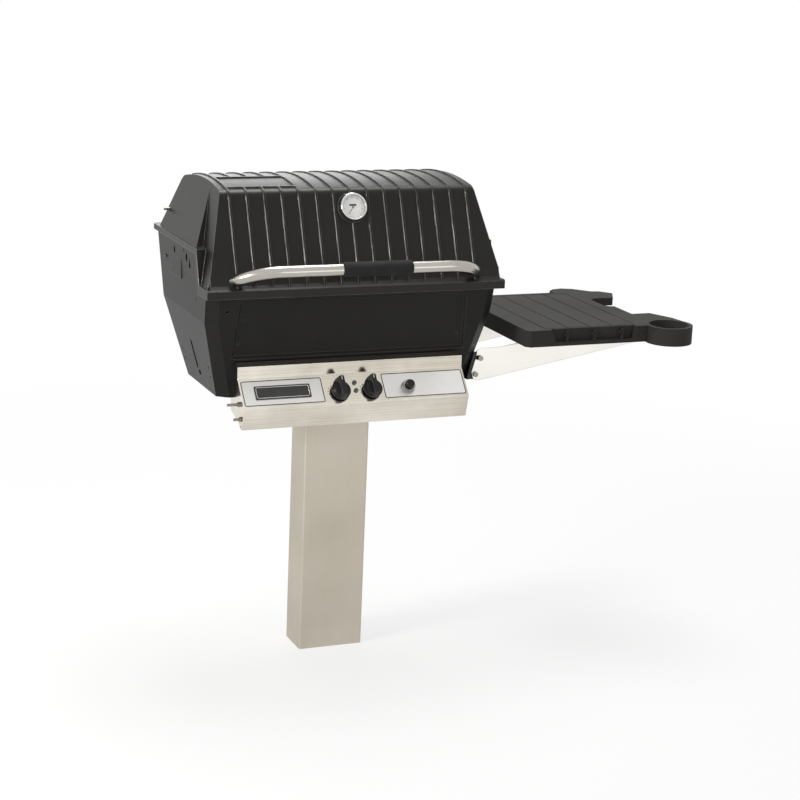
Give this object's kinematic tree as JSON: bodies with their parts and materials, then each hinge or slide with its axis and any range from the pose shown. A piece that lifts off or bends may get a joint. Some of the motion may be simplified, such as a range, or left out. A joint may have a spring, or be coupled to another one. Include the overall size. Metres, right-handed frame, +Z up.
{
  "type": "post-mounted gas grill",
  "caption": "Gas grill on an in-ground post: cast firebox with a ribbed hinged lid, sloping control console, folding side shelf with a cup ring.",
  "frame": {"origin": "on the post's axis at ground level, where the post enters the ground", "axes": "+X to the grill's right as seen by the cook in front, the shelf's side; +Y to the back; +Z up along the post"},
  "size_m": [1.1695, 0.494, 1.749],
  "materials": {
    "stainless_post": "brushed lengthways",
    "stainless_sheet": "fine brushed",
    "cast_black": "satin black coating on cast aluminium",
    "fasteners": "plain",
    "grid_steel": "plain",
    "burner_steel": "plain",
    "ceramic": "unglazed",
    "brass": "machined",
    "manifold_aluminium": "plain",
    "knob_black": "satin",
    "handle_steel": "polished",
    "grip_black": "matt",
    "chrome": "bright",
    "badge": "dark field in a bright frame, left blank",
    "dial_white": "white",
    "needle_black": "black",
    "lens": "clear",
    "shelf_resin": "fine grain",
    "bracket_black": "satin black"
  },
  "bodies": {
    "stand": {"badge_plate": "badge", "bracket_bolts": "fasteners", "briquette_grate": "grid_steel", "burner": "burner_steel", "ceramic_briquettes": "ceramic", "console_bolts": "fasteners", "console_left_end": "stainless_sheet", "console_right_end": "stainless_sheet", "console_studs": "fasteners", "control_console": "stainless_sheet", "face_screws": "fasteners", "firebox": "cast_black", "gas_inlet_fitting": "brass", "gas_manifold": "manifold_aluminium", "gas_orifices": "brass", "hinge_clips": "fasteners", "hinge_pins": "fasteners", "igniter_barrel": "knob_black", "igniter_collar": "chrome", "igniter_electrode": "ceramic", "in_ground_post": "stainless_post", "left_cooking_grid": "grid_steel", "left_valve": "brass", "left_venturi": "burner_steel", "post_cross_bolts": "fasteners", "post_saddle": "stainless_post", "rack_link_pins": "fasteners", "right_cooking_grid": "grid_steel", "right_valve": "brass", "right_venturi": "burner_steel", "saddle_bolts": "fasteners", "shelf_bracket": "bracket_black", "shelf_pivot_bolts": "fasteners", "shelf_stop_bolts": "fasteners"},
    "lid": {"lid": "cast_black", "handle_tube": "handle_steel", "handle_grip": "grip_black", "handle_screws": "fasteners", "thermometer_case": "chrome", "thermometer_dial": "dial_white", "thermometer_stem": "chrome", "thermometer_lens": "lens", "thermometer_nut": "fasteners", "rack_lid_pins": "fasteners"},
    "thermometer_needle": {"thermometer_needle": "needle_black"},
    "warming_rack": {"warming_rack": "grid_steel"},
    "rack_links": {"rack_left_link": "grid_steel", "rack_right_link": "grid_steel"},
    "shelf": {"shelf_top": "shelf_resin", "shelf_front_arm": "stainless_sheet", "shelf_rear_arm": "stainless_sheet", "shelf_arm_screws": "fasteners"},
    "left_push": {"left_push_collar": "manifold_aluminium"},
    "right_push": {"right_push_collar": "manifold_aluminium"},
    "left_knob": {"left_knob": "knob_black", "left_valve_stem": "brass"},
    "right_knob": {"right_knob": "knob_black", "right_valve_stem": "brass"},
    "igniter_button": {"igniter_button": "knob_black"}
  },
  "joints": [
    {"name": "lid_hinge", "type": "hinge", "parent": "stand", "child": "lid", "pos_m": [0, 0.279, 0.927], "axis": [-1, 0, 0], "range_deg": [0, 95]},
    {"name": "rack_pivot", "type": "hinge", "parent": "lid", "child": "warming_rack", "pos_m": [0, 0.205, 0.98], "axis": [-1, 0, 0], "range_deg": [-95, 0]},
    {"name": "rack_link_pivot", "type": "hinge", "parent": "stand", "child": "rack_links", "pos_m": [0, 0.18, 0.879], "axis": [-1, 0, 0], "range_deg": [0, 95]},
    {"name": "thermometer_turn", "type": "hinge", "parent": "lid", "child": "thermometer_needle", "pos_m": [0, -0.08315, 1.021], "axis": [0, 0.9239, -0.3827], "range_deg": [0, 270], "stiffness_Nm_per_rad": 0.002},
    {"name": "shelf_fold", "type": "hinge", "parent": "stand", "child": "shelf", "pos_m": [0.313, 0.0525, 0.635], "axis": [0, 1, 0], "range_deg": [0, 90]},
    {"name": "left_knob_push", "type": "slide", "parent": "stand", "child": "left_push", "axis": [0, 0.7534, -0.6575], "range_m": [0, 0.003], "stiffness_N_per_m": 800, "springref_m": -0.004},
    {"name": "left_knob_turn", "type": "hinge", "parent": "left_push", "child": "left_knob", "pos_m": [-0.037, -0.14873, 0.63085], "axis": [0, -0.7534, 0.6575], "range_deg": [0, 210]},
    {"name": "right_knob_push", "type": "slide", "parent": "stand", "child": "right_push", "axis": [0, 0.7534, -0.6575], "range_m": [0, 0.003], "stiffness_N_per_m": 800, "springref_m": -0.004},
    {"name": "right_knob_turn", "type": "hinge", "parent": "right_push", "child": "right_knob", "pos_m": [0.037, -0.14873, 0.63085], "axis": [0, -0.7534, 0.6575], "range_deg": [0, 210]},
    {"name": "igniter_press", "type": "slide", "parent": "stand", "child": "igniter_button", "axis": [0, 0.7534, -0.6575], "range_m": [0, 0.006], "stiffness_N_per_m": 900, "springref_m": -0.004}
  ],
  "couplings": [
    {"joint": "rack_pivot", "follows": "lid_hinge", "ratio": -1},
    {"joint": "rack_link_pivot", "follows": "lid_hinge", "ratio": 1}
  ]
}
